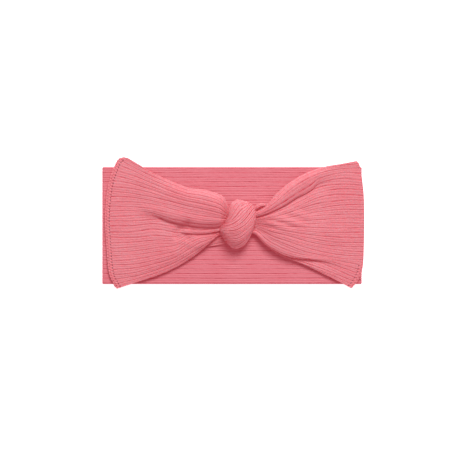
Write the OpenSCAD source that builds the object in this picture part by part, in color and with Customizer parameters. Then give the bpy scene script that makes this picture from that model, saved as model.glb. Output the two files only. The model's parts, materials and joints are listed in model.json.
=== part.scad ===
// Knotted bow headband: a flat loop of ribbed knit with a tied strip tacked to its front.
// The loop is a sleeve of cloth, lying pressed flat, back half on the table and front half over it.
// +X runs along the loop, +Y towards its upper edge, +Z up. The origin is the middle of the face it rests on.

/* [Band] */
// Length of the loop when it lies flat, half of its girth
band_l = 168; // [150:1:180]
// Width of the band
band_w = 76; // [66:1:80]
// Thickness of the sleeve, two layers of knit
sleeve_t = 1.8; // [1.4:0.1:2]
// Space between the back half and the front half of the flat loop
loop_gap = 1.6; // [1.5:0.1:2]

/* [Bow] */
// Middle of the knot along the band, from the middle of the band
knot_x = 4.3; // [3.5:0.1:5]
// Middle of the knot across the band
knot_y = 0.8; // [0:0.1:2]
// Width of the knot along its short side
knot_w = 23; // [21:0.5:23.5]
// Length of the knot along its long side
knot_l = 33; // [28:0.5:34]
// Thickness of the knot, off the band
knot_h = 13.4; // [12:0.2:14]
// Lean of the knot's long side, clockwise from +Y
knot_lean = 14; // [0:1:20]
// Thickness of a tail where it leaves the knot
root_t = 6.8; // [6:0.1:7]
// Thickness of a tail at its hem
end_t = 2.8; // [2.4:0.1:3.2]

/* [Stitching] */
// Width of the overlocked edge on a tail's end
hem_w = 3.2; // [2.5:0.1:4]
// Width of the seam allowance inside the loop
seam_w = 6; // [5:0.5:8]
// Thickness of the pressed seam allowance
seam_t = 0.8; // [0.6:0.1:0.8]
// Thickness of the sewing thread, plied and fluffy
thread_d = 0.4; // [0.3:0.05:0.4]
// Distance from one overlock stitch to the next
stitch_pitch = 2.5; // [2:0.1:3]

/* [Hidden] */
$fn = 48;

cloth = "#e8808c";
cloth_light = "#ec8d97";
thread_colour = "#e2707e";

clearance = 0.3; // between solids that move apart
panel_l = (band_l - 2 * sleeve_t) / 5; // each half is five panels long, between the end folds
front_z = sleeve_t + loop_gap;
band_top = front_z + sleeve_t;
bow_z = band_top + clearance; // the lowest level of the bow

// ---- the band ----

// The sleeve's cross-section: flat, with its two long edges folded round.
module sleeve_section() {
    edge = (band_w - sleeve_t) / 2;
    translate([-edge, 0]) square([2 * edge, sleeve_t]);
    for (side = [-1, 1])
        translate([side * edge, sleeve_t / 2]) circle(d = sleeve_t);
}

// A length of sleeve from x0 to x1, with its lower face at z.
module panel(x0, x1, z) {
    color(cloth)
        translate([x0 + clearance / 2, 0, z])
            rotate([90, 0, 90])
                linear_extrude(x1 - x0 - clearance) sleeve_section();
}

module mirrored(side) {
    mirror([side < 0 ? 1 : 0, 0, 0]) children();
}

module band_back_centre() {
    panel(-panel_l / 2, panel_l / 2, 0);
}

module band_inner(side, z) {
    mirrored(side) panel(panel_l / 2, panel_l * 3 / 2, z);
}

module band_outer(side, z) {
    mirrored(side) panel(panel_l * 3 / 2, panel_l * 5 / 2, z);
}

module band_front_centre(side) {
    mirrored(side) panel(0, panel_l / 2, front_z);
}

// ---- the seam that closes the loop, inside the back ----

seam_l = band_w - 2 * sleeve_t;

module closing_seam_allowance() {
    color(cloth_light)
        translate([-seam_w, -seam_l / 2, sleeve_t]) cube([seam_w, seam_l, seam_t]);
}

// Overlock loops over the allowance, one short bar to each stitch.
module closing_seam_thread() {
    stitches = floor(seam_l / stitch_pitch);
    color(thread_colour)
        for (i = [0 : stitches - 1])
            translate([
                -seam_w,
                (i - (stitches - 1) / 2) * stitch_pitch,
                sleeve_t + seam_t + thread_d / 2,
            ])
                rotate([0, 90, 0]) cylinder(h = seam_w * 0.6, d = thread_d, $fn = 16);
}

// ---- the knot ----

module bow_knot() {
    r = knot_h / 2;
    color(cloth)
        translate([knot_x, knot_y, bow_z + r])
            rotate([0, 0, -knot_lean])
                hull()
                    for (p = [[1, 0], [-1, 0], [0, 1], [0, -1]])
                        translate([p[0] * (knot_w / 2 - r), p[1] * (knot_l / 2 - r), 0])
                            sphere(r = r, $fn = 32);
}

// ---- the tails ----

// A tail turns on a hinge line beside the knot, inside its round root.
hinge_out = knot_w / 2 + root_t / 2 + 1;
hinge_z = bow_z + root_t / 2 + 0.1;

// Each tail: side, hinge line x, [low, high] y of its root, [low, high] corners of its end,
// how far the end bulges outwards, and how far its [low, high] long edges swell.
tail_left = [
    -1, knot_x - hinge_out, [-4.5, 13], [[-73.7, -41], [-74.5, 42]], 7.5, [-6, 2],
];
tail_right = [
    1, knot_x + hinge_out, [-7, 10.5], [[78.5, -40.5], [82.5, 41]], 6.3, [-1, 7],
];

function side_of(tail) = tail[0];
function hinge_x_of(tail) = tail[1];
function root_of(tail) = tail[2];
function corners_of(tail) = tail[3];
function end_bulge_of(tail) = tail[4];
function edge_swell_of(tail) = tail[5];

function mix(a, b, k) = a + (b - a) * k;
function arch(k) = 4 * k * (1 - k);

// A point of the end's edge, k from 0 at its low corner to 1 at its high one.
function tail_end(tail, k) =
    mix(corners_of(tail)[0], corners_of(tail)[1], k)
    + [side_of(tail) * end_bulge_of(tail) * arch(k), 0];

// A point of the tail in plan: s runs from the hinge line to the end, k across it.
function tail_plan(tail, s, k) =
    mix([hinge_x_of(tail), mix(root_of(tail)[0], root_of(tail)[1], k)], tail_end(tail, k), s)
    + [0, mix(edge_swell_of(tail)[0], edge_swell_of(tail)[1], k) * arch(s)];

function tail_t(s) = mix(root_t, end_t, pow(s, 0.7));

// One ring of a tail: an oval of thickness t across it, its underside level towards the end.
ring_points = 24;
function tail_ring(tail, s, t, inwards = 0) = [
    for (i = [0 : ring_points - 1])
        let (
            a = 360 * i / ring_points,
            p = tail_plan(tail, s, (1 + cos(a)) / 2),
            level = hinge_z - mix(0, (root_t - end_t) / 2, s)
        )
        [p[0] - side_of(tail) * inwards, p[1], level + side_of(tail) * t / 2 * sin(a)]
];

// A cap on a ring that starts at index first: strips between its upper and its lower points.
function cap(first, n, flip) = [
    for (k = [0 : n / 2 - 1]) each [
        if (k < n / 2 - 1)
            flip ? [first + n - k - 1, first + k + 1, first + k]
                 : [first + k, first + k + 1, first + n - k - 1],
        if (k > 0)
            flip ? [first + n - k, first + n - k - 1, first + k]
                 : [first + k, first + n - k - 1, first + n - k],
    ]
];

// A closed tube through rings of points.
module loft(rings) {
    n = len(rings[0]);
    last = len(rings) - 1;
    polyhedron(
        points = [for (r = rings) each r],
        faces = concat(
            cap(0, n, false),
            [
                for (j = [0 : last - 1], i = [0 : n - 1]) each [
                    [j * n + i, (j + 1) * n + i, (j + 1) * n + (i + 1) % n],
                    [j * n + i, (j + 1) * n + (i + 1) % n, j * n + (i + 1) % n],
                ]
            ],
            cap(last * n, n, true)
        )
    );
}

// How far along the tail its overlocked edge starts.
function hem_start(tail) = 1 - hem_w / abs(tail_end(tail, 0.5)[0] - hinge_x_of(tail));

// A tail, from a round root that turns on the hinge line to the start of its overlocked edge.
root_steps = 4;
tail_steps = 9;
module tail(tail) {
    round_root = [
        for (i = [1 : root_steps])
            let (a = 90 * i / root_steps)
            tail_ring(tail, 0, root_t * sin(a), root_t / 2 * cos(a))
    ];
    body = [
        for (i = [1 : tail_steps])
            let (s = hem_start(tail) * i / tail_steps)
            tail_ring(tail, s, tail_t(s))
    ];
    color(cloth) loft(concat(round_root, body));
}

// The overlocked edge: cloth and thread pressed thinner than the tail.
hem_steps = 3;
module hem(tail) {
    from = hem_start(tail) + 0.0005;
    rings = [
        for (i = [0 : hem_steps])
            let (k = i / hem_steps)
            tail_ring(tail, mix(from, 1, k), mix(tail_t(from), end_t / 2, k))
    ];
    color(thread_colour) loft(rings);
}

// ---- the stitches that hold the knot to the band ----

// One stitch: a bar inside the loop, with a leg up through the sleeve into the knot at each end.
tack_l = 3;
module tack() {
    level = front_z - thread_d / 2;
    leg = sleeve_t + clearance + 1.5;
    for (side = [-1, 1])
        translate([side * tack_l / 2, 0, level]) cylinder(h = leg, d = thread_d, $fn = 16);
    translate([-tack_l / 2, 0, level]) rotate([0, 90, 0]) cylinder(h = tack_l, d = thread_d, $fn = 16);
}

tack_count = 4;
tack_pitch = 3;
module knot_tack_stitches() {
    color(thread_colour)
        for (i = [0 : tack_count - 1])
            translate([knot_x, knot_y + (i - (tack_count - 1) / 2) * tack_pitch, 0]) tack();
}

band_back_centre();
band_inner(1, 0);  // band_back_inner_right
band_outer(1, 0);  // band_back_outer_right
band_outer(1, front_z);  // band_front_outer_right
band_inner(1, front_z);  // band_front_inner_right
band_front_centre(1);  // band_front_centre_right
band_inner(-1, 0);  // band_back_inner_left
band_outer(-1, 0);  // band_back_outer_left
band_outer(-1, front_z);  // band_front_outer_left
band_inner(-1, front_z);  // band_front_inner_left
band_front_centre(-1);  // band_front_centre_left
closing_seam_allowance();
closing_seam_thread();
bow_knot();
tail(tail_left);  // bow_tail_left
tail(tail_right);  // bow_tail_right
hem(tail_left);  // tail_hem_left
hem(tail_right);  // tail_hem_right
knot_tack_stitches();
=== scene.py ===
"""Knotted bow headband: its looks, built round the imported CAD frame."""

import json
import math

import bpy
import numpy as np
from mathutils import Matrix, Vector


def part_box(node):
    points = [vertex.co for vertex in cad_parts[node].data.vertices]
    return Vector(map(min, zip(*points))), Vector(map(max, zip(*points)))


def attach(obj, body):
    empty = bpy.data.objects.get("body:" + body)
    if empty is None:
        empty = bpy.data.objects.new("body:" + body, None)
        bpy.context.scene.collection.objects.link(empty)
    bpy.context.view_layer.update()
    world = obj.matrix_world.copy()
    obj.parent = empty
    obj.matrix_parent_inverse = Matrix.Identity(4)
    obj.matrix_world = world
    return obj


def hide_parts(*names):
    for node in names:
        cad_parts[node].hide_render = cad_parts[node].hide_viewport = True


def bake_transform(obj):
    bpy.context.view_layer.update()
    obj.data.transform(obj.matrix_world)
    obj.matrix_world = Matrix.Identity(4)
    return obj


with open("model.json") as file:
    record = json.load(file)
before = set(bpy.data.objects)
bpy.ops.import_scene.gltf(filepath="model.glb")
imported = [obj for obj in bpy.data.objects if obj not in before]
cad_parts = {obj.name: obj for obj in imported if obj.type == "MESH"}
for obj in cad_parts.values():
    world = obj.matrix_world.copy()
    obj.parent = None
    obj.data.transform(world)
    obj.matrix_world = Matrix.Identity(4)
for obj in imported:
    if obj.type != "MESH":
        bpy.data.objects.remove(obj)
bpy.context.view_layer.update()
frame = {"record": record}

MM = 0.001  # shapes below are worked out in millimetres, in the row frame


# ---- sizes from the frame, in millimetres ----

def box_mm(node):
    low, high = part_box(node)
    return np.array(low) / MM, np.array(high) / MM


joints = {joint["name"]: joint for joint in frame["record"]["behaviour"]["joints"]}


def pivot_mm(joint):
    return np.array(joints[joint]["pos_m"]) / MM


back_low, back_high = box_mm("band_back_centre")
front_low, front_high = box_mm("band_front_centre_right")
band_w = back_high[1] - back_low[1]
sleeve_t = back_high[2] - back_low[2]
inner_bend = pivot_mm("loop_opening")[0]
end_fold = pivot_mm("end_fold_right")
band_top = front_high[2]
knot_low, knot_high = box_mm("bow_knot")
knot_middle = (knot_low + knot_high) / 2

RIB = 3.0         # from one rib of the knit to the next
RIB_DEPTH = 0.26  # from the crown of a rib to the bottom of its groove
COURSE = 1.1      # the height of one row of stitches, along a rib
LAYER_T = 0.9     # one layer of the knit
CREASE_DEPTH = 0.5  # how deep the knit is folded in where its ribs are gathered


# ---- curves and grids ----

def spline(values, knots, at):
    """A smooth curve through values, given along axis 0 at knots, read at the places at."""
    values = np.asarray(values, float)
    knots = np.asarray(knots, float)
    shape = (-1,) + (1,) * (values.ndim - 1)
    steps = np.diff(knots)
    slopes = np.diff(values, axis=0) / steps.reshape(shape)
    tangents = np.empty_like(values)
    tangents[0], tangents[-1] = slopes[0], slopes[-1]
    weight = (steps[1:] / (steps[1:] + steps[:-1])).reshape(shape)
    tangents[1:-1] = slopes[:-1] * weight + slopes[1:] * (1 - weight)
    i = np.clip(np.searchsorted(knots, at, side="right") - 1, 0, len(steps) - 1)
    h = steps[i].reshape(shape)
    t = ((at - knots[i]) / steps[i]).reshape(shape)
    return (
        values[i] * (1 + 2 * t) * (1 - t) ** 2
        + tangents[i] * h * t * (1 - t) ** 2
        + values[i + 1] * t * t * (3 - 2 * t)
        + tangents[i + 1] * h * t * t * (t - 1)
    )


def rounded(points, steps=4):
    """A smooth path through a few points."""
    points = np.asarray(points, float)
    knots = np.arange(len(points))
    return spline(points, knots, np.linspace(0, len(points) - 1, (len(points) - 1) * steps + 1))


def smooth(t):
    t = np.clip(t, 0, 1)
    return t * t * (3 - 2 * t)


def bump(t):
    """1 at t 0, falling smoothly to nothing by t 1 and -1."""
    return smooth(1 - np.abs(t))


def lengths(points, axis):
    """Distance travelled along an axis of a grid of points, from its start."""
    steps = np.linalg.norm(np.diff(points, axis=axis), axis=-1)
    total = np.cumsum(steps, axis=axis)
    return np.concatenate([np.zeros_like(total.take([0], axis=axis)), total], axis=axis)


def normals(grid):
    across = np.gradient(grid, axis=0)
    along = np.gradient(grid, axis=1)
    n = np.cross(across, along)
    return n / np.maximum(np.linalg.norm(n, axis=2, keepdims=True), 1e-9)


def crease_depth(points, path, width, depth):
    """How far points are pressed in by a crease along a path in plan."""
    path = rounded(path, 10)
    away = np.linalg.norm(points[..., None, :2] - path, axis=-1).min(axis=-1)
    return depth * np.exp(-(away / width) ** 2)


# ---- the knit's relief ----

RIB_SAMPLES = np.array([0, 0.05, 0.12, 0.25, 0.38, 0.45, 0.5, 0.55, 0.62, 0.75, 0.88, 0.95])
FINE_GROOVE = 0.55  # the fine groove along the middle of each rib, beside the one between ribs


def rib_places(count):
    """Places across count ribs, close together at the grooves, in ribs."""
    places = (np.arange(count)[:, None] + RIB_SAMPLES).ravel()
    return np.append(places, count)


def rib_dip(place, fine=FINE_GROOVE):
    """How deep the knit's surface lies at a place, in ribs: 1 in the groove between two ribs."""
    between = np.abs(2 * (place % 1.0) - 1) ** 6
    middle = np.abs(2 * ((place + 0.5) % 1.0) - 1) ** 8
    return between + fine * middle


def stray(travel, place):
    """How far a hand-pulled rib strays sideways, in ribs, at a distance travelled along it."""
    return 0.07 * np.sin(travel / 9 + place * 2.1) + 0.08 * np.sin(travel / 23 - place * 0.7 + 1.3)


def uneven(travel, place):
    """How much deeper than usual a groove is, for it comes and goes along the knit."""
    return 1 + 0.28 * np.sin(travel * 0.27 + place * 2.7) + 0.24 * np.sin(travel * 0.11 - place * 4.1)


# ---- meshes ----

def new_mesh(name, points, faces, uvs):
    """A smooth mesh from points in millimetres; uvs is (stitch row, rib) at each corner of each face."""
    mesh = bpy.data.meshes.new(name)
    mesh.from_pydata((np.asarray(points) * MM).tolist(), [], faces)
    mesh.uv_layers.new(name="cloth").data.foreach_set("uv", np.asarray(uvs, np.float32).ravel())
    mesh.polygons.foreach_set("use_smooth", [True] * len(faces))
    mesh.update()
    obj = bpy.data.objects.new(name, mesh)
    bpy.context.scene.collection.objects.link(obj)
    return obj


def quads(a, b, c, d):
    return np.stack([a.ravel(), b.ravel(), c.ravel(), d.ravel()], axis=1)


def slab(name, top, bottom, rows, ribs, flip=False):
    """A closed piece of cloth between two grids of points; rows and ribs are its cloth coordinates."""
    n, m = top.shape[:2]
    points = np.concatenate([top.reshape(-1, 3), bottom.reshape(-1, 3)])
    uv = np.stack(np.broadcast_arrays(rows, ribs), axis=-1).reshape(-1, 2)
    uv = np.concatenate([uv, uv])
    index = np.arange(n * m).reshape(n, m)
    low = index + n * m
    faces = np.concatenate([
        quads(index[:-1, :-1], index[1:, :-1], index[1:, 1:], index[:-1, 1:]),
        quads(low[:-1, :-1], low[:-1, 1:], low[1:, 1:], low[1:, :-1]),
        quads(index[:-1, 0], low[:-1, 0], low[1:, 0], index[1:, 0]),
        quads(index[1:, -1], low[1:, -1], low[:-1, -1], index[:-1, -1]),
        quads(index[0, 1:], low[0, 1:], low[0, :-1], index[0, :-1]),
        quads(index[-1, :-1], low[-1, :-1], low[-1, 1:], index[-1, 1:]),
    ])
    if flip:
        faces = faces[:, ::-1]
    return new_mesh(name, points, faces.tolist(), uv[faces.ravel()])


def tube(path, radius, sides=7):
    """Points and faces of a round thread along path, closed at both ends."""
    ahead = np.gradient(path, axis=0)
    ahead /= np.maximum(np.linalg.norm(ahead, axis=1, keepdims=True), 1e-9)
    side = np.cross(ahead, [0.3, 0.2, 1.0])
    side /= np.maximum(np.linalg.norm(side, axis=1, keepdims=True), 1e-9)
    up = np.cross(side, ahead)
    a = np.linspace(0, 2 * math.pi, sides, endpoint=False)
    rings = path[:, None] + radius * (
        side[:, None] * np.cos(a)[None, :, None] + up[:, None] * np.sin(a)[None, :, None]
    )
    n = len(path)
    faces = [
        [i * sides + k, (i + 1) * sides + k, (i + 1) * sides + (k + 1) % sides, i * sides + (k + 1) % sides]
        for i in range(n - 1) for k in range(sides)
    ]
    faces.append(list(range(sides)))
    faces.append([(n - 1) * sides + k for k in range(sides)][::-1])
    return rings.reshape(-1, 3), faces


def threads(name, paths, radius, material):
    """One piece made of many short threads."""
    points, faces = [], []
    base = 0
    for path in paths:
        ring, sides = tube(rounded(path), radius)
        points.append(ring)
        faces.extend([[i + base for i in face] for face in sides])
        base += len(ring)
    corners = sum(len(face) for face in faces)
    obj = new_mesh(name, np.concatenate(points), faces, np.zeros((corners, 2)))
    obj.data.materials.append(material)
    return obj


class Lines:
    """A surface laid out by the lines that its ribs follow.

    A line is (share of the width, [(x, y, height above the band's face), ...]).
    """

    def __init__(self, lines):
        self.shares = np.array([share for share, _ in lines])
        self.points = np.array([points for _, points in lines], float)
        self.points[..., 2] += band_top
        self.stations = np.linspace(0, 1, self.points.shape[1])

    def grid(self, shares, s):
        """Points at shares of the width and shares s of the length."""
        along = spline(self.points.transpose(1, 0, 2), self.stations, s)
        return spline(along.transpose(1, 0, 2), self.shares, shares)


def ribbed_cloth(name, grid, ribs, up, pressed=0.0):
    """A layer of knit about a grid of points, with ribs along its lines.

    up is 1 or -1, by the way the grid winds; pressed is how flat the cloth is at each point, 0 to 1.
    Where the ribs are crowded together the fine grooves close up and every second rib folds under.
    """
    n = normals(grid) * up
    place = rib_places(ribs)[:, None]
    travel = lengths(grid[grid.shape[0] // 2], 0)[None, :]
    rows = travel / COURSE
    spacing = np.linalg.norm(np.gradient(grid, rib_places(ribs), axis=0), axis=2)
    loose = smooth(spacing / RIB * 1.6 - 0.6)
    where = place + stray(travel, place)
    edge = smooth(np.minimum(place, ribs - place) * 1.4 + 0.15)
    dip = rib_dip(where, FINE_GROOVE * loose) * uneven(travel, place) * edge * (1 - 0.7 * pressed)
    dip = RIB_DEPTH * dip + CREASE_DEPTH * (1 - loose) * np.abs(where % 2 - 1) ** 4 * edge
    half = LAYER_T / 2 * (0.7 + 0.3 * edge) * (1 - 0.25 * pressed)
    top = grid + n * (half - dip)[..., None]
    bottom = grid - n * (half - dip * 0.7)[..., None]
    return slab(name, top, bottom, rows, where, flip=up < 0)


# ---- materials ----

def math_node(tree, operation, a, b=None, clamp=False):
    node = tree.nodes.new("ShaderNodeMath")
    node.operation = operation
    node.use_clamp = clamp
    for socket, value in zip(node.inputs, (a, b)):
        if value is None:
            continue
        if isinstance(value, (int, float)):
            socket.default_value = value
        else:
            tree.links.new(value, socket)
    return node.outputs[0]


def mix_colour(tree, factor, a, b):
    node = tree.nodes.new("ShaderNodeMix")
    node.data_type = "RGBA"
    for socket, value in ((node.inputs[0], factor), (node.inputs[6], a), (node.inputs[7], b)):
        if isinstance(value, (tuple, float, int)):
            socket.default_value = value
        else:
            tree.links.new(value, socket)
    return node.outputs[2]


def noise(tree, vector, scale, detail=2.0):
    node = tree.nodes.new("ShaderNodeTexNoise")
    node.inputs["Scale"].default_value = scale
    node.inputs["Detail"].default_value = detail
    tree.links.new(vector, node.inputs["Vector"])
    return node.outputs["Fac"]


def relief(tree, shader, height, distance):
    bumps = tree.nodes.new("ShaderNodeBump")
    bumps.inputs["Strength"].default_value = 0.5
    bumps.inputs["Distance"].default_value = distance
    tree.links.new(height, bumps.inputs["Height"])
    tree.links.new(bumps.outputs["Normal"], shader.inputs["Normal"])


def groove_shade_line(tree, rib, place, sharpness):
    """1 along a line at this place in every rib, falling off to either side: the mask where groove shade is
    painted.
    """
    across = math_node(tree, "FRACT", math_node(tree, "ADD", rib, place))
    centred = math_node(tree, "ABSOLUTE", math_node(tree, "SUBTRACT", across, 0.5))
    return math_node(tree, "POWER", math_node(tree, "MULTIPLY", centred, 2.0), sharpness)


def knit_colour(tree, row, rib, patches, fuzz, colours):
    """The yarn's colour with painted shade in its grooves; colours are the knit's crown, the painted groove
    shade and pale.
    """
    crown, groove, pale = colours
    # Slubs: the yarn thickens and thins along each rib.
    along_rib = tree.nodes.new("ShaderNodeCombineXYZ")
    tree.links.new(math_node(tree, "MULTIPLY", row, 0.22), along_rib.inputs["X"])
    tree.links.new(math_node(tree, "MULTIPLY", rib, 1.7), along_rib.inputs["Y"])
    slub = noise(tree, along_rib.outputs[0], 1.0, 3.0)

    # Painted shade: the grooves are painted a deeper red, which comes and goes with the slubs.
    between = groove_shade_line(tree, rib, 0.0, 8.0)
    middle = groove_shade_line(tree, rib, 0.5, 10.0)
    groove_shade_mask = math_node(tree, "ADD", between, math_node(tree, "MULTIPLY", middle, 0.4))
    comes_and_goes = math_node(tree, "SUBTRACT", math_node(tree, "MULTIPLY", slub, 2.8), 0.75)
    depth = math_node(tree, "MULTIPLY", groove_shade_mask, comes_and_goes, clamp=True)
    faded = math_node(tree, "MULTIPLY", patches, slub, clamp=True)
    body = mix_colour(tree, math_node(tree, "MULTIPLY", faded, 2.0, clamp=True), crown, pale)
    flecked = mix_colour(tree, math_node(tree, "MULTIPLY", fuzz, 0.2), body, groove)
    return mix_colour(tree, depth, flecked, groove)


def knit_surface(tree, row, rib, fuzz, crinkle):
    """The yarn's height: two columns of V-shaped stitches stand on each rib."""
    wale = math_node(tree, "FRACT", math_node(tree, "MULTIPLY", rib, 2.0))
    lean = math_node(tree, "ABSOLUTE", math_node(tree, "SUBTRACT", wale, 0.5))
    phase = math_node(tree, "ADD", row, math_node(tree, "MULTIPLY", lean, 1.4))
    stitch = math_node(tree, "SINE", math_node(tree, "MULTIPLY", phase, 2 * math.pi))
    column = math_node(tree, "MULTIPLY", lean, -1.6)
    yarn = math_node(tree, "ADD", math_node(tree, "MULTIPLY", stitch, 0.35), column)
    rough_yarn = math_node(tree, "ADD", yarn, math_node(tree, "MULTIPLY", fuzz, 0.9))
    return math_node(tree, "ADD", rough_yarn, math_node(tree, "MULTIPLY", crinkle, 5.0))


def knit(name, crown, groove, pale, glow):
    """Ribbed knit: crown is its colour on a rib, groove the painted shade between ribs, pale a washed-out
    patch.

    glow is how much light passes through the yarn.
    """
    material = bpy.data.materials.new(name)
    material.use_nodes = True
    tree = material.node_tree
    shader = tree.nodes["Principled BSDF"]
    uv = tree.nodes.new("ShaderNodeUVMap")
    uv.uv_map = "cloth"
    split = tree.nodes.new("ShaderNodeSeparateXYZ")
    place = tree.nodes.new("ShaderNodeTexCoord")
    tree.links.new(uv.outputs["UV"], split.inputs[0])
    row, rib = split.outputs["X"], split.outputs["Y"]
    patches = noise(tree, place.outputs["Object"], 60.0, 3.0)
    fuzz = noise(tree, place.outputs["Object"], 1500.0, 3.0)
    crinkle = noise(tree, place.outputs["Object"], 420.0, 2.0)

    colour = knit_colour(tree, row, rib, patches, fuzz, (crown, groove, pale))
    tree.links.new(colour, shader.inputs["Base Color"])
    relief(tree, shader, knit_surface(tree, row, rib, fuzz, crinkle), 0.00014)
    rough = math_node(tree, "ADD", math_node(tree, "MULTIPLY", fuzz, 0.2), 0.76)
    tree.links.new(rough, shader.inputs["Roughness"])
    shader.inputs["Subsurface Weight"].default_value = glow
    shader.inputs["Subsurface Radius"].default_value = (1.0, 0.15, 0.17)
    shader.inputs["Subsurface Scale"].default_value = 0.0013
    # Painted glow: dim red emission over the whole knit, for light that reaches the folds through the yarn.
    shader.inputs["Emission Color"].default_value = (1.0, 0.0, 0.04, 1.0)
    shader.inputs["Emission Strength"].default_value = 0.1
    shader.inputs["Sheen Weight"].default_value = 0.08
    shader.inputs["Sheen Roughness"].default_value = 0.45
    shader.inputs["Sheen Tint"].default_value = (1.0, 0.72, 0.74, 1.0)
    shader.inputs["Specular IOR Level"].default_value = 0.2
    return material


def thread_material(name, colour, dark):
    """Plied sewing thread, a little glossier than the knit."""
    material = bpy.data.materials.new(name)
    material.use_nodes = True
    tree = material.node_tree
    shader = tree.nodes["Principled BSDF"]
    place = tree.nodes.new("ShaderNodeTexCoord")
    plies = noise(tree, place.outputs["Object"], 2600.0, 2.0)
    rough = math_node(tree, "ADD", math_node(tree, "MULTIPLY", plies, 0.25), 0.55)
    tree.links.new(mix_colour(tree, plies, dark, colour), shader.inputs["Base Color"])
    tree.links.new(rough, shader.inputs["Roughness"])
    relief(tree, shader, plies, 0.00008)
    shader.inputs["Sheen Weight"].default_value = 0.3
    return material


def rgb(r, g, b):
    """A colour of the screen, 0 to 255, as a linear one."""
    return tuple(((c / 255 + 0.055) / 1.055) ** 2.4 for c in (r, g, b)) + (1.0,)


# The band is made of lengths that meet end to end, and a glow would go out at their ends.
# The second colour of each knit is painted shade for the grooves between its ribs.
band_knit = knit("band_knit", rgb(210, 131, 140), rgb(180, 26, 50), rgb(216, 150, 158), 0.0)
tie_knit = knit("tie_knit", rgb(213, 137, 144), rgb(182, 26, 50), rgb(221, 163, 168), 0.3)
overlock_thread = thread_material("overlock_thread", rgb(247, 160, 166), rgb(232, 118, 130))
# The needle thread is real, but its dark red is painted shade for the holes it is sewn through.
needle_thread_painted_shade = thread_material("needle_thread_painted_shade", rgb(150, 40, 66), rgb(118, 22, 48))


# ---- the band ----

SWELL = 0.25  # the most that the band's front half swells up or down


def band_swell(x, y):
    """The gentle swell of the band's front half, which lies over the seams inside the loop."""
    across = y / band_w
    return 0.16 * np.sin(across * 13 + 0.6 + 0.4 * np.sin(x / 40)) + 0.08 * np.sin(x / 17 + across * 9)


EDGE_STEPS = 8  # round each long edge of the sleeve


def sleeve_rings(travel):
    """The sleeve's cross-section as lines along it: each is (y, how far out of the middle, rib)."""
    count = int(band_w / RIB)
    edge = sleeve_t / 2
    flat = band_w / 2 - edge
    face = []
    for place in rib_places(count):
        y = (place / count * 2 - 1) * flat
        fade = smooth((flat - abs(y)) / 2 + 0.2)
        dip = RIB_DEPTH * rib_dip(place + stray(travel, place)) * uneven(travel, place) * fade
        face.append((y, edge - dip, place))
    turn = np.linspace(0, math.pi, EDGE_STEPS + 2)[1:-1]
    level = np.ones_like(travel)
    upper_edge = [
        (flat + edge * math.sin(a), edge * math.cos(a) * level, count + 0.45 * math.sin(a)) for a in turn
    ]
    lower_edge = [
        (-flat - edge * math.sin(a), -edge * math.cos(a) * level, -0.45 * math.sin(a)) for a in turn
    ]
    inside = [(y, -out, place) for y, out, place in face[::-1]]
    return face + upper_edge + inside + lower_edge, len(face)


def crisp(mesh, ends):
    """Make the edges among these points sharp, so that what closes an end leaves the walls' shading alone."""
    corners = np.empty(len(mesh.edges) * 2, np.int32)
    mesh.edges.foreach_get("vertices", corners)
    mesh.edges.foreach_set("use_edge_sharp", np.isin(corners.reshape(-1, 2), ends).all(axis=1))


def sleeve_faces(index, face_len):
    """The sleeve's walls, and at each cut end the strips between its outer and inner side."""
    n = len(index)
    ahead = np.roll(index, -1, axis=0)
    walls = quads(index[:, :-1], index[:, 1:], ahead[:, 1:], ahead[:, :-1])
    ring = np.arange(-EDGE_STEPS // 2, face_len - 1 + EDGE_STEPS // 2)
    facing = 2 * face_len + EDGE_STEPS - 1
    near = [ring % n, (ring + 1) % n, (facing - ring - 1) % n, (facing - ring) % n]
    start = quads(*(index[k, 0] for k in near))
    end = quads(*(index[k, -1] for k in near[::-1]))
    return np.concatenate([walls, start, end])


SEAM_HALF_W = 1.6  # how far the closing seam's dip reaches to either side of it


def sleeve(name, path, travelled, front, flip, seam_dip=0.0):
    """A length of the sleeve along path: (x, z) of its middle and (nx, nz) out of the loop, at each step.

    travelled is how far along the loop it starts, front how far each step is on the front half, 0 to 1.
    flip turns the faces the other way round.
    """
    x, z, nx, nz = (np.array([step[k] for step in path]) for k in range(4))
    travel = travelled + lengths(np.stack([x, z], axis=1), 0)
    rings, face_len = sleeve_rings(travel)
    grid = np.empty((len(rings), len(x), 3))
    for k, (y, out, _) in enumerate(rings):
        pinched = out - seam_dip * bump(x / SEAM_HALF_W) * np.sign(out)
        grid[k, :, 0] = x + nx * pinched
        grid[k, :, 1] = y
        grid[k, :, 2] = z + nz * pinched + front * band_swell(x, y)

    n, m = grid.shape[:2]
    index = np.arange(n * m).reshape(n, m)
    faces = sleeve_faces(index, face_len)
    if flip:
        faces = faces[:, ::-1]
    ribs = np.array([rib for _, _, rib in rings])
    uv = np.stack(np.broadcast_arrays(travel[None, :] / COURSE, ribs[:, None]), axis=-1).reshape(-1, 2)
    obj = new_mesh(name, grid.reshape(-1, 3), faces.tolist(), uv[faces.ravel()])
    crisp(obj.data, index[:, [0, -1]])
    return obj


def flat_path(x0, x1, z, normal_z, steps=15):
    return [(x, z, 0.0, normal_z) for x in np.linspace(x0, x1, steps + 1)]


back_z = sleeve_t / 2
front_z = front_low[2] + sleeve_t / 2
panel = inner_bend * 2  # from the middle of one panel to the middle of the next
fold_r = 1.0
fold_x = end_fold[0] + 0.2 - fold_r - sleeve_t / 2
upright = front_z - back_z - 2 * fold_r
half_loop = 2 * fold_x + math.pi * fold_r + upright


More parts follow.
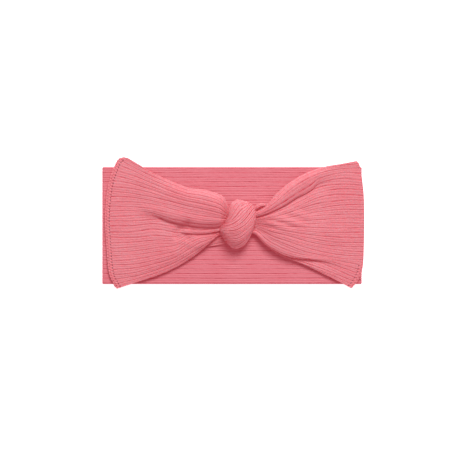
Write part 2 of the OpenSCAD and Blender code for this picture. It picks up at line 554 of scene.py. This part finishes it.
def fold_path():
    """Along the back, round the end of the flat loop and along the front again."""
    quarter = np.linspace(0, math.pi / 2, 7)
    lower = [
        (fold_x + fold_r * math.sin(a), back_z + fold_r * (1 - math.cos(a)), math.sin(a), -math.cos(a))
        for a in quarter
    ]
    tip = [(fold_x + fold_r, back_z + fold_r + upright * share, 1.0, 0.0) for share in (0.25, 0.5, 0.75)]
    upper = [
        (fold_x + fold_r * math.cos(a), front_z - fold_r * (1 - math.sin(a)), math.cos(a), math.sin(a))
        for a in quarter
    ]
    back = flat_path(2 * panel, fold_x, back_z, -1.0, 8)[:-1]
    front = flat_path(fold_x, 2 * panel, front_z, 1.0, 8)[1:]
    return back + lower + tip + upper + front


def band_piece(name, side, path, travelled, front, start, end, nodes, seam_dip=0.0):
    """One length of the sleeve. start and end are where it starts and stops; they are not used."""
    if side < 0:
        path = [(-x, z, -nx, nz) for x, z, nx, nz in path]
    obj = sleeve(name, path, travelled, front, side > 0, seam_dip)
    obj.data.materials.append(band_knit)
    start, end = ((side * p[0] * MM, p[1] * MM, p[2] * MM) for p in (start, end))
    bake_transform(obj)
    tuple(start)
    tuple(end)
    if nodes:
        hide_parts(*nodes)


LEVEL = 7.5  # what stays flat either side of the middle of a panel


def half_band(side, word):
    """The five lengths of sleeve on one side of the loop."""
    near, far, beyond = 0.0, panel, 2 * panel
    band_piece(
        f"band_back_middle_{word}", side, flat_path(near, far, back_z, -1.0), near, 0.0,
        (near + LEVEL, 0, 0), (far - LEVEL, 0, 0),
        ["band_back_centre"] if side > 0 else [], seam_dip=0.5,
    )
    band_piece(
        f"band_back_side_{word}", side, flat_path(far, beyond, back_z, -1.0), far, 0.0,
        (far + LEVEL, 0, 0), (beyond - LEVEL, 0, 0),
        [f"band_back_inner_{word}"],
    )
    path = fold_path()
    band_piece(
        f"band_end_{word}", side, path, beyond, smooth(np.linspace(-1, 2, len(path))),
        (0, 0, sleeve_t), (0, 0, front_low[2] - SWELL),
        [f"band_back_outer_{word}", f"band_front_outer_{word}"],
    )
    band_piece(
        f"band_front_side_{word}", side, flat_path(beyond, far, front_z, 1.0), half_loop - beyond, 1.0,
        (beyond - LEVEL, 0, 0), (far + LEVEL, 0, 0),
        [f"band_front_inner_{word}"],
    )
    band_piece(
        f"band_front_middle_{word}", side, flat_path(far, near, front_z, 1.0), half_loop - far, 1.0,
        (far - LEVEL, 0, 0), (near + LEVEL, 0, 0),
        [f"band_front_centre_{word}"],
    )


half_band(1, "right")
half_band(-1, "left")


# ---- the bow's tails ----

# Each line is one that the ribs of a tail follow, from the knot to the hem: (share of the cloth's
# width, [(x, y, height above the band's face), ...]). They run from the upper edge to the lower one,
# and where they double back the cloth is folded.
LEFT_LINES = [
    # upper edge
    (0.00, [(-2, 12, 3.3), (-6.5, 19, 3.4), (-18, 22.9, 3.2), (-28, 24.2, 2.8),
            (-40, 28.8, 2.2), (-50, 33.4, 1.8), (-59, 38.8, 1.6), (-67.3, 43.7, 1.6)]),
    (0.04, [(-2.2, 11.2, 3), (-7, 18, 6.2), (-18, 22, 5.8), (-28.5, 23.6, 4.6),
            (-40, 28, 3.4), (-50.5, 32.8, 2.4), (-60.5, 38.2, 1.8), (-70.8, 44.2, 1.6)]),
    # the upper lobe's shoulder and crown
    (0.08, [(-2.4, 10, 3.4), (-7.4, 16.4, 8.2), (-18, 20.2, 7.8), (-29, 22, 6.2),
            (-40, 26.2, 4.4), (-51, 30.8, 2.8), (-62, 36.2, 1.9), (-73.8, 42, 1.6)]),
    (0.13, [(-2.5, 8.4, 3.6), (-7.8, 14, 9.2), (-18.2, 17.4, 8.8), (-29, 19.4, 7.4),
            (-40, 23, 5.2), (-51.5, 27.6, 3.1), (-63.5, 32.8, 1.9), (-76.2, 37, 1.6)]),
    (0.22, [(-2.6, 6.6, 3.8), (-8.2, 10.6, 9.8), (-18.5, 13.4, 9.4), (-29, 15.6, 8),
            (-40, 18.8, 5.7), (-52, 22.8, 3.2), (-65, 26.4, 1.8), (-79, 28.4, 1.6)]),
    (0.33, [(-3.2, 4.6, 3.8), (-8.8, 6, 9.2), (-19, 8, 8.8), (-29, 10, 7.7),
            (-40, 12.8, 5.8), (-53, 15.8, 3.2), (-66, 17.6, 1.5), (-80.8, 18.2, 1.6)]),
    (0.42, [(-4.2, 2.4, 3.6), (-9.2, 1.4, 7.8), (-19.5, 1.4, 7.8), (-29.5, 3, 7.1),
            (-40, 5.4, 5.8), (-52.5, 8.8, 3.3), (-66, 9.8, 1.5), (-81.5, 9.8, 1.6)]),
    # the lobe's lower edge, and the cloth turned back under it
    (0.455, [(-5, 0.8, 3), (-9.2, -0.6, 4.8), (-19.5, -0.8, 5), (-29.8, 0.7, 5),
             (-40, 3, 4.2), (-51, 6.6, 2.5), (-66, 6.8, 1.5), (-81.7, 6.4, 1.6)]),
    (0.49, [(-5.4, 2.4, 3), (-10, 2, 2.6), (-20, 2.2, 2.4), (-30, 3.6, 2),
            (-40, 5.2, 1.9), (-51, 4.8, 1.7), (-66, 3.6, 1.6), (-81.7, 3.4, 1.6)]),
    # the second, narrow fold, and the cloth turned back under it
    (0.515, [(-5.8, 0.2, 3.2), (-10.3, 0, 3.4), (-20, 0, 3.6), (-29, 0.8, 3),
             (-39, 2.4, 2.4), (-51, 2.8, 1.7), (-66, 1.6, 1.6), (-81.7, 1.4, 1.6)]),
    (0.535, [(-6, -1.4, 3.6), (-10.5, -2, 4.2), (-20, -2.8, 4.4), (-29, -1.6, 3.4),
             (-39, 0, 2.9), (-51, 1.4, 1.8), (-66, -0.4, 1.6), (-81.6, -0.4, 1.6)]),
    (0.57, [(-6.5, -3, 3.2), (-11, -4.1, 3.8), (-20, -5.3, 3.8), (-29, -4.8, 3.4),
            (-37.5, -4, 3), (-50, -2.2, 1.9), (-65.5, -3.8, 1.6), (-81.4, -3.8, 1.6)]),
    (0.60, [(-6.8, -2.4, 1.8), (-11.6, -3, 1.6), (-20.5, -3.4, 1.2), (-29.5, -4.4, 1.4),
            (-37.5, -6.8, 2.9), (-50, -5.4, 2), (-65, -6.6, 1.6), (-81.2, -6.8, 1.6)]),
    # the lower half, fanning out flat
    (0.65, [(-7.2, -4, 2), (-12, -4.8, 2.4), (-20.5, -4.8, 2.4), (-28.5, -6.4, 2.2),
            (-36.5, -10, 2.9), (-49, -10, 2.2), (-64.5, -11.6, 1.8), (-80.8, -12, 1.6)]),
    (0.72, [(-7.7, -4.6, 2.4), (-12.5, -6, 3.2), (-20.5, -6.4, 3.4), (-28.5, -8.8, 3.4),
            (-36.5, -13.4, 3.2), (-49, -15, 2.7), (-64, -17, 1.9), (-80.4, -17.8, 1.6)]),
    (0.79, [(-8.2, -5.2, 2.8), (-13, -7.2, 4), (-20.5, -8.4, 4.6), (-28, -11.8, 4.5),
            (-36.5, -16.8, 3.9), (-49, -20, 2.9), (-63.5, -22.6, 2), (-80, -23.4, 1.6)]),
    (0.90, [(-8.8, -6, 3.2), (-13.4, -9.4, 4.2), (-20, -12.8, 4.7), (-27.5, -17.2, 4.4),
            (-36.5, -22.4, 3.5), (-48, -26.6, 2.7), (-62, -30.6, 1.9), (-78.4, -32.6, 1.6)]),
    # lower edge
    (1.00, [(-9.2, -6.6, 2.6), (-13.8, -10.6, 2.8), (-19.8, -16, 2.4), (-27, -21.4, 2),
            (-36, -26.8, 1.8), (-47, -31.8, 1.7), (-60, -36.2, 1.6), (-74.2, -40.8, 1.6)]),
]
RIGHT_LINES = [
    # upper edge, lying behind the roll
    (0.00, [(16, 9.2, 2.8), (23, 13.6, 3.2), (28.6, 20.4, 2.8), (38, 28.2, 2.4),
            (48.5, 34.1, 2), (60, 38, 1.8), (71, 40, 1.6), (80.6, 41.8, 1.6)]),
    # the rolled-over edge: its shoulder, its crown, its lower side and the cloth turned back under it
    (0.04, [(16.2, 8.4, 4.8), (23.4, 12.6, 6), (30, 18.8, 6.2), (39, 26.4, 5.8),
            (49, 32.4, 4.4), (60, 36.4, 2.8), (71, 38.6, 1.8), (82.2, 40, 1.6)]),
    (0.09, [(16.6, 7.4, 6), (24, 10.9, 7), (32, 16.2, 7), (40.2, 22.4, 6.4),
            (49.4, 28.2, 5.4), (58.5, 32.8, 3.6), (71, 35.2, 1.8), (83.4, 35.2, 1.6)]),
    (0.13, [(17, 6.4, 5.2), (24.7, 8.7, 5.4), (33.4, 12.9, 5.3), (41, 17.7, 4.7),
            (50.4, 22.7, 4), (56.8, 28, 3), (71, 31.2, 1.8), (84, 30.6, 1.6)]),
    (0.16, [(17, 7.4, 3.6), (25, 10.4, 3.6), (34, 14.8, 3.4), (42, 19.4, 3.1),
            (51, 24, 2.7), (59.5, 27.4, 2.2), (72, 28.4, 1.7), (84.5, 27.4, 1.6)]),
    # the body of the tail, fanning out from the knot
    (0.185, [(17.1, 6.4, 3.6), (25.2, 9, 4), (34.6, 13, 3.7), (43, 17.7, 3.4),
             (52.6, 22.8, 2.8), (62, 25.6, 2.4), (73, 26, 1.8), (84.8, 25.2, 1.6)]),
    (0.22, [(17.2, 5, 4.2), (25.4, 7.2, 5), (35, 10.9, 4.8), (44, 15.4, 4.3),
            (54, 20.2, 3.5), (64, 22.6, 2.4), (74, 23, 1.8), (85.1, 22.2, 1.6)]),
    (0.32, [(17.5, 3.6, 4.4), (26, 4.6, 6.2), (36, 6.4, 5.6), (46, 9, 4.4),
            (56, 11.4, 3.2), (65, 12.8, 2.4), (75, 13.6, 1.8), (85.5, 13.6, 1.6)]),
    (0.43, [(17.5, 2.2, 4.2), (26.5, 2, 7), (37, 2.2, 6.5), (47, 3, 5),
            (57, 3.6, 3.5), (66, 4, 2.5), (75.5, 4.2, 1.8), (85.6, 4.2, 1.6)]),
    (0.54, [(17.3, 0.6, 4), (26.5, -1, 7.2), (37, -2.4, 6.8), (47, -3.6, 5.3),
            (57, -4.4, 3.8), (66, -4.8, 2.7), (75.5, -5, 1.8), (85.5, -5, 1.6)]),
    (0.65, [(17, -1.2, 4), (26, -4.6, 7), (36.5, -7.4, 6.8), (46.5, -10.2, 5.4),
            (56.5, -12.4, 3.8), (65.5, -13.6, 2.7), (75, -14.2, 1.8), (85.3, -14.4, 1.6)]),
    (0.76, [(16.6, -2.8, 3.8), (25, -8.4, 6.2), (35, -13, 6.2), (45, -16.8, 5.1),
            (55, -19.2, 3.7), (64.5, -21, 2.7), (74, -22.6, 1.8), (84.6, -23.6, 1.6)]),
    # the lower fold's edge, and the cloth turned back under it
    (0.84, [(15.4, -5.2, 4), (22, -11.9, 4.6), (31.5, -17.8, 4.6), (40, -20.4, 4.2),
            (50, -21.4, 3.8), (60, -23, 2.8), (72, -26.6, 1.8), (83.2, -30.6, 1.6)]),
    (0.87, [(15.4, -4.8, 2.8), (22.4, -11.2, 2.6), (31.5, -17, 2.4), (40.5, -19.6, 2),
            (50, -20.6, 1.8), (61, -24, 1.8), (72, -28.6, 1.7), (82.4, -32.6, 1.6)]),
    (0.93, [(15.2, -5.4, 2.6), (22, -12.2, 2.7), (31, -18.2, 2.7), (41, -22.2, 2.6),
            (51, -25.4, 2.5), (61.5, -29, 2.2), (71.5, -33, 1.8), (80.2, -36.6, 1.6)]),
    # lower edge
    (1.00, [(15, -5.6, 2), (21.6, -12.4, 1.8), (30.6, -18.8, 1.8), (42, -23.2, 1.8),
            (52, -27.8, 1.8), (62, -32.7, 1.8), (70, -36.8, 1.7), (76.9, -40.4, 1.6)]),
]
TAIL_RIBS = 28
STEPS_ALONG = 90
HEM_W = 2.3           # the overlocked edge, from the needle's row to the cut
LOWER_HEIGHT = 0.75   # the lower layer's middle, above the band's face
SETTLE = 0.3          # how softly the upper layer lands on the lower one
UNDER_KNOT = 2.4      # how high the roots lie where they are tucked under the knot
TUCK = 4.5            # how far the lines run on from there, in under the knot
ROOT_SHARE = 0.85     # how wide a tail is in there, as a share of its width at the root
# Lines that only the upper layer follows: those of its folds, and some right beside them.
UPPER_ONLY = (0.455, 0.49, 0.515, 0.535, 0.57, 0.60, 0.13, 0.16, 0.185, 0.84, 0.87)


def with_root(lines, side):
    """The lines, started under the knot."""
    out = []
    for share, points in lines:
        x, y, _ = points[0]
        out.append((share, [(x - side * TUCK, y * ROOT_SHARE, UNDER_KNOT)] + points))
    return out


def lower_layer(lines, shift, local):
    """The lower layer of a doubled tail: the lines outside UPPER_ONLY, lower, its low corner shifted.

    local is how closely the shift keeps to that corner.
    """
    out = []
    for share, points in lines:
        if share in UPPER_ONLY:
            continue
        reach = [share ** local * i / (len(points) - 1) for i in range(len(points))]
        out.append((share, [
            (x + shift[0] * r, y + shift[1] * r, LOWER_HEIGHT + (height - points[-1][2]) * 0.2)
            for (x, y, height), r in zip(points, reach)
        ]))
    return out


def pucker(grid, centre, size, height, waves):
    """Small creases that run out of the knot: ripples about a place, fading away from it."""
    away = (grid[..., :2] - np.array(centre)) / np.array(size)
    fade = np.exp(-(away ** 2).sum(axis=2))
    grid[..., 2] += height * fade * np.sin(away @ np.array(waves))


def settle(grid):
    """Keep the upper layer above the lower one: where it would sink in, it flattens out on it."""
    over = grid[..., 2] - band_top - LOWER_HEIGHT - LAYER_T
    grid[..., 2] += SETTLE * np.log1p(np.exp(over / SETTLE)) - over


def hollow(grid, centre, size, depth):
    """A soft dent pressed into the cloth."""
    away = (grid[..., :2] - np.array(centre)) / np.array(size)
    grid[..., 2] -= depth * np.exp(-(away ** 2).sum(axis=2))


def blend_tail(obj, side):
    """Bakes the cloth's place into its mesh."""
    word = "right" if side > 0 else "left"
    hinge = pivot_mm(f"tail_{word}_lift")
    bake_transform(obj)


def hem_pressed(grid, hem_from):
    """How flat the overlocking presses the cloth: 1 at the cut edge, on shares from hem_from on."""
    travelled = lengths(grid, 1)
    to_edge = travelled[:, -1:] - travelled
    shares = rib_places(TAIL_RIBS)[:, None] / TAIL_RIBS
    return smooth((HEM_W + 0.4 - to_edge) / 1.0) * smooth((shares - hem_from) * 30 + 1)


def tail_layer(name, side, grid, pressed):
    obj = ribbed_cloth(name, grid, TAIL_RIBS, side, pressed)
    obj.data.materials.append(tie_knit)
    blend_tail(obj, side)
    return obj


def tail_cloth(lines, word, side, shift, local, hem_from, shape):
    """Both layers of a tail. shape(grid) adds what the lines leave out; returns the upper layer's grid."""
    shares = rib_places(TAIL_RIBS) / TAIL_RIBS
    lines = with_root(lines, side)
    upper_grid = Lines(lines).grid(shares, np.linspace(0, 1, STEPS_ALONG))
    shape(upper_grid)
    settle(upper_grid)
    width = lengths(upper_grid[:, -1], 0)[-1]
    length = lengths(upper_grid[len(shares) // 2], 0)[-1]
    pressed = hem_pressed(upper_grid, hem_from)
    upper = tail_layer(f"bow_tail_{word}_upper", side, upper_grid, pressed)
    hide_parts(f"bow_tail_{word}")
    lower_grid = Lines(lower_layer(lines, shift, local)).grid(shares, np.linspace(0, 1, STEPS_ALONG // 2))
    tail_layer(f"bow_tail_{word}_lower", side, lower_grid, 0.0)
    return upper_grid


# A pit runs from under the upper lobe's edge across the turned cloth, towards the lower left.
PIT_CREASE = [(-28.5, 1), (-31, -0.6), (-33.4, -2.6), (-35, -4.8), (-35.6, -6.8)]


def shape_left(grid):
    hollow(grid, (-66, 13), (6, 10), 0.7)
    grid[..., 2] -= crease_depth(grid, PIT_CREASE, 2.2, 2.4)
    pucker(grid, (-27, -8), (8, 4), 0.35, (3.5, 3.0))
    pucker(grid, (-24, -14), (10, 7), 0.3, (1.5, 4.5))
    pucker(grid, (-50, -14), (14, 12), 0.35, (1.2, 2.6))


def shape_right(grid):
    pucker(grid, (35, 2), (9, 5), 0.6, (3.4, 5.0))
    pucker(grid, (26, 0), (6, 5), 0.5, (1.5, 7.0))
    pucker(grid, (44, 6), (8, 5), 0.4, (2.5, 4.4))
    pucker(grid, (60, -8), (15, 12), 0.4, (1.2, 2.4))
    hollow(grid, (64, 24), (10, 4), 0.4)


RIGHT_HEM_FROM = 0.8  # above this share of the right tail's end the hem is turned under
LEFT_HEM_FROM = 0.05  # and the left one runs out in the rounded corner
left_grid = tail_cloth(LEFT_LINES, "left", -1, (-1.6, 0.8), 2, LEFT_HEM_FROM, shape_left)
right_grid = tail_cloth(RIGHT_LINES, "right", 1, (7, 5.2), 10, RIGHT_HEM_FROM, shape_right)


# ---- overlocked edges ----

STITCH = 1.9      # from one overlock stitch to the next
STITCH_PARTS = (0.05, 0.5, 0.95)  # where a stitch starts, has its middle and ends, as shares of it
THREAD_R = 0.27
NEEDLE_R = 0.24
SEAM_THREAD_R = 0.18
TACK_R = 0.2


def hem_stitch(at, a, b, c, top):
    """One stitch from a through b to c along the edge: its three looper threads, and its needle thread."""
    loops = [
        [at(a, HEM_W, top - 0.2), at(a + 0.1, HEM_W * 0.5, top), at(b, 0.3, top), at(b, -0.3, 0),
         at(b, 0.3, -top)],
        [at(b, 0.3, top), at(c - 0.1, HEM_W * 0.5, top), at(c, HEM_W, top - 0.2)],
        [at(a, -0.1, 0.15), at(b, -0.3, 0.35), at(c, -0.1, 0.15)],
    ]
    needle = [at(b - 0.4, HEM_W, top - 0.12), at(b, HEM_W, top), at(b + 0.4, HEM_W, top - 0.12)]
    return loops, needle


def hem_threads(grid, word, hem_from):
    """Looper threads that wrap the tail's cut edge, and the needle thread's row inside it."""
    edge = grid[:, -1]
    inward = grid[:, -3] - edge
    inward /= np.linalg.norm(inward, axis=1, keepdims=True)
    place = lengths(edge, 0)
    first = hem_from * place[-1]
    stitches = int((place[-1] - first) / STITCH)
    pitch = (place[-1] - first) / stitches
    top = LAYER_T * 0.32 + THREAD_R * 0.5

    def at(across, inwards, up):
        """A point on the hem: across along the edge, inwards from it, up off the cloth's middle."""
        point = [np.interp(across, place, edge[:, k]) for k in range(3)]
        towards = [np.interp(across, place, inward[:, k]) for k in range(3)]
        return np.array(point) + inwards * np.array(towards) + np.array([0, 0, up])

    loops, needles = [], []
    for k in range(stitches):
        a, b, c = (first + (k + share) * pitch for share in STITCH_PARTS)
        stitch_loops, needle = hem_stitch(at, a, b, c, top)
        loops.extend(stitch_loops)
        needles.append(needle)
    loop_piece = threads(f"hem_loops_{word}", loops, THREAD_R, overlock_thread)
    needle_piece = threads(f"hem_needle_row_{word}", needles, NEEDLE_R, needle_thread_painted_shade)
    for obj in (loop_piece, needle_piece):
        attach(obj, f"tail_{word}")
    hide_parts(f"tail_hem_{word}")


hem_threads(left_grid, "left", LEFT_HEM_FROM)
hem_threads(right_grid, "right", RIGHT_HEM_FROM)


# ---- the knot ----

# The wrap's ribs in plan, from where they come out of the tuck at the left to where they go under at
# the right. They run from the wrap's upper left to its lower right.
WRAP_LINES = [
    (0.00, [(-4.6, 1.8), (-3.1, 5.2), (-2.4, 9.6), (-0.8, 14.2), (2.6, 16.9)]),
    (0.12, [(-5.2, 1.2), (-1.8, 5.4), (0.4, 9.4), (3.2, 13.2), (7.6, 16.2)]),
    (0.24, [(-5.9, 0.6), (-1.6, 2.6), (2.2, 6), (6, 10.4), (11.6, 14.7)]),
    (0.38, [(-7.2, -0.4), (-2.6, -0.7), (2.9, 1), (8, 5.2), (14, 12.4)]),
    (0.52, [(-8, -3), (-3.4, -4), (2.9, -3.4), (9, 0.4), (15.6, 8.2)]),
    (0.66, [(-6.7, -6.2), (-2.2, -6.9), (3.4, -6.1), (9.2, -2.6), (15.5, 3.8)]),
    (0.80, [(-4.4, -9.8), (-0.5, -10.4), (4.4, -9.9), (9.2, -6.6), (14.5, -0.6)]),
    (0.92, [(-1.8, -13), (1.4, -13.2), (5.2, -12.1), (9, -9.2), (13.6, -3.4)]),
    (1.00, [(0.2, -14.8), (3, -15.3), (6.6, -14.2), (9.8, -11.4), (12.8, -5.4)]),
]
# Where the wrap turns over itself near its top.
WRAP_CREASE = [(6.6, 12), (8.6, 13.4), (10.6, 14.1), (12.6, 13.7), (14.2, 12.4)]
WRAP_RIBS = 12
WRAP_RELIEF = 0.85  # from the crown of a rib to its groove on the wrap, where the cloth is pulled tight
WRAP_SINK = 3.2     # how far the wrap's outline lies below the middle of the knot's height

# The strip that comes out from behind the knot, under the left tail.
BACK_PASS_LINES = [
    (0.0, [(-15.4, -8, 1.1), (-11, -5, 1), (-6, -2.6, 1), (-2, 0, 1.2)]),
    (0.35, [(-16.4, -10.6, 1.1), (-11.2, -8, 1.2), (-5.6, -5.2, 1.4), (-1, -2.4, 1.6)]),
    (0.7, [(-16.4, -12.4, 1), (-10.8, -10.6, 1.1), (-4.6, -8.8, 1.2), (0.4, -6, 1.4)]),
    (1.0, [(-15.4, -13.6, 0.7), (-10, -12.9, 0.6), (-3.6, -11.6, 0.6), (2.4, -9.4, 0.7)]),
]
# The little loop of cloth that stands out above the right tail's root.
LOOP_LINES = [
    (0.0, [(14.2, 11.4, 1.2), (16.2, 13.5, 1.2), (18.6, 14.4, 1.2), (21.4, 14, 1.2), (23.6, 13.8, 1.2)]),
    (0.3, [(14.2, 10.9, 3.6), (16.4, 12.9, 4.4), (18.7, 13.8, 4.6), (21.2, 13.6, 4.2), (23.6, 13.6, 2.4)]),
    (0.65, [(14.4, 10.3, 4.4), (16.8, 11.9, 5.4), (18.9, 12.8, 5.4), (21.2, 13, 4.8), (23.4, 13.2, 2.6)]),
    (1.0, [(14.6, 9.2, 2.2), (17, 10.4, 2.4), (19.1, 11.5, 2.4), (21.1, 12.5, 2.2), (23.2, 12.9, 1.8)]),
]


def wrap_dome(shares, s):
    """The wrap's height at each place, 0 at its outline and 1 at its middle."""
    return np.sqrt(np.outer(4 * shares * (1 - shares), 4 * s * (1 - s)))


def knot_wrap():
    """The wrap that hides the knot: ribbed cloth domed over its top and its underside."""
    places = rib_places(WRAP_RIBS)
    s = (1 - np.cos(np.linspace(0, math.pi, 100))) / 2
    shares = places / WRAP_RIBS
    flat = Lines([(share, [(x, y, 0) for x, y in points]) for share, points in WRAP_LINES]).grid(shares, s)
    dome = wrap_dome(shares, s)
    middle = (knot_low[2] + knot_high[2]) / 2 - WRAP_SINK
    top = flat.copy()
    top[..., 2] = middle + dome * (knot_high[2] - 0.5 - middle)
    top[..., 2] -= crease_depth(flat, WRAP_CREASE, 0.7, 1.6) * dome
    bottom = flat.copy()
    bottom[..., 2] = middle - dome * (middle - knot_low[2] - 0.3)
    travel = lengths(top[len(places) // 2], 0)[None, :]
    where = places[:, None] + stray(travel, places[:, None])
    dip = WRAP_RELIEF * rib_dip(where, 0.5) * uneven(travel, places[:, None])
    fade = smooth(dome * 2.5)
    top -= normals(top) * (dip * fade)[..., None]
    obj = slab("knot_wrap", top, bottom, travel / COURSE, where)
    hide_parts("bow_knot")
    return obj


def knot_strip(name, lines, ribs):
    """A short length of the strip that shows beside the wrap."""
    grid = Lines(lines).grid(rib_places(ribs) / ribs, np.linspace(0, 1, 40))
    return ribbed_cloth(name, grid, ribs, 1)


knot_pieces = [
    knot_wrap(),
    knot_strip("knot_back_pass", BACK_PASS_LINES, 7),
    knot_strip("knot_small_loop", LOOP_LINES, 4),
]
for obj in knot_pieces:
    obj.data.materials.append(tie_knit)
    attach(obj, "front_centre")


# ---- what is sewn inside the loop ----

flap_low, flap_high = box_mm("closing_seam_allowance")


def seam_flap():
    """The pressed seam allowance, its ribs running along the loop."""
    ribs = int((flap_high[1] - flap_low[1]) / RIB)
    y = np.interp(rib_places(ribs), [0, ribs], [flap_low[1], flap_high[1]])
    x = np.linspace(flap_high[0], flap_low[0], 14)
    grid = np.empty((len(y), len(x), 3))
    grid[..., 0] = x[None, :]
    grid[..., 1] = y[:, None]
    grid[..., 2] = (flap_low[2] + flap_high[2]) / 2 + 0.08 * np.sin(y / 5)[:, None]
    obj = ribbed_cloth("closing_seam_flap", grid, ribs, 1, 0.6)
    obj.data.materials.append(band_knit)
    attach(obj, "back_centre")
    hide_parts("closing_seam_allowance")


def seam_overlock():
    """Looper threads over the allowance's cut edge."""
    low, high = box_mm("closing_seam_thread")
    stitches = int((high[1] - low[1]) / STITCH)
    top = flap_high[2] + 0.1
    loops = []
    for k in range(stitches):
        a, b, c = (low[1] + (k + share) * STITCH for share in STITCH_PARTS)
        loops.append([(high[0], a, top), (low[0] + 0.4, b, top), (low[0] - 0.15, b, top - 0.5)])
        loops.append([(low[0] + 0.4, b, top), (high[0], c, top)])
        loops.append([(low[0], a, top - 0.3), (low[0] - 0.2, b, top - 0.2), (low[0], c, top - 0.3)])
    obj = threads("closing_seam_overlock", loops, SEAM_THREAD_R, overlock_thread)
    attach(obj, "back_centre")
    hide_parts("closing_seam_thread")


TACKS = 4


def tack_threads():
    """The hand stitches that hold the knot on, seen as short bars inside the loop."""
    low, high = box_mm("knot_tack_stitches")
    drop = low[2] + TACK_R
    left, right = low[0] + TACK_R, high[0] - TACK_R
    paths = []
    for k in range(TACKS):
        y = low[1] + TACK_R + (high[1] - low[1] - 2 * TACK_R) * k / (TACKS - 1)
        paths.append([
            (left, y, high[2]), (left, y, drop + 1), (left + 0.3, y, drop), (knot_middle[0], y + 0.2, drop),
            (right - 0.3, y, drop), (right, y, drop + 1), (right, y, high[2]),
        ])
    obj = threads("knot_tack_threads", paths, TACK_R, overlock_thread)
    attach(obj, "front_centre")
    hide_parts("knot_tack_stitches")


seam_flap()
seam_overlock()
tack_threads()


# ---- floor, light and camera ----

def add_floor():
    """A light table: its own light takes the shadows off it."""
    mesh = bpy.data.meshes.new("floor")
    mesh.from_pydata([(-3, -3, 0), (3, -3, 0), (3, 3, 0), (-3, 3, 0)], [], [(0, 1, 2, 3)])
    floor = bpy.data.objects.new("floor", mesh)
    bpy.context.scene.collection.objects.link(floor)
    floor.location.z = -0.0002
    material = bpy.data.materials.new("floor")
    material.use_nodes = True
    shader = material.node_tree.nodes["Principled BSDF"]
    shader.inputs["Base Color"].default_value = (0.93, 0.93, 0.93, 1)
    shader.inputs["Roughness"].default_value = 0.9
    shader.inputs["Emission Color"].default_value = (1, 1, 1, 1)
    shader.inputs["Emission Strength"].default_value = 0.8
    mesh.materials.append(material)


def add_world():
    """Soft light from all round, faintly pink, as pink cloth throws on itself."""
    world = bpy.data.worlds.new("studio")
    world.use_nodes = True
    world.node_tree.nodes["Background"].inputs["Color"].default_value = (1, 0.66, 0.72, 1)
    world.node_tree.nodes["Background"].inputs["Strength"].default_value = 0.52
    bpy.context.scene.world = world


def softbox(name, location, size, power):
    light = bpy.data.lights.new(name, "AREA")
    light.shape = "RECTANGLE"
    light.size, light.size_y = size
    light.energy = power
    obj = bpy.data.objects.new(name, light)
    bpy.context.scene.collection.objects.link(obj)
    obj.location = location
    obj.rotation_euler = (-obj.location).to_track_quat("-Z", "Y").to_euler()


VIEW_W = 0.299  # what the picture shows, side to side, at the table
HEIGHT = 1.6    # of the camera above the table
OFF_CENTRE = (-0.0013, -0.0029)  # the photo is centred on this place


def add_camera():
    """The photo's view, straight down."""
    data = bpy.data.cameras.new("camera")
    data.sensor_width = 36
    data.lens = data.sensor_width * HEIGHT / VIEW_W
    data.clip_start = 0.05
    camera = bpy.data.objects.new("camera", data)
    bpy.context.scene.collection.objects.link(camera)
    camera.location = OFF_CENTRE + (HEIGHT,)
    bpy.context.scene.camera = camera


add_floor()
add_world()
softbox("key", (0.16, 0.8, 0.9), (0.6, 0.5), 12)
add_camera()
bpy.context.scene.view_settings.view_transform = "Standard"
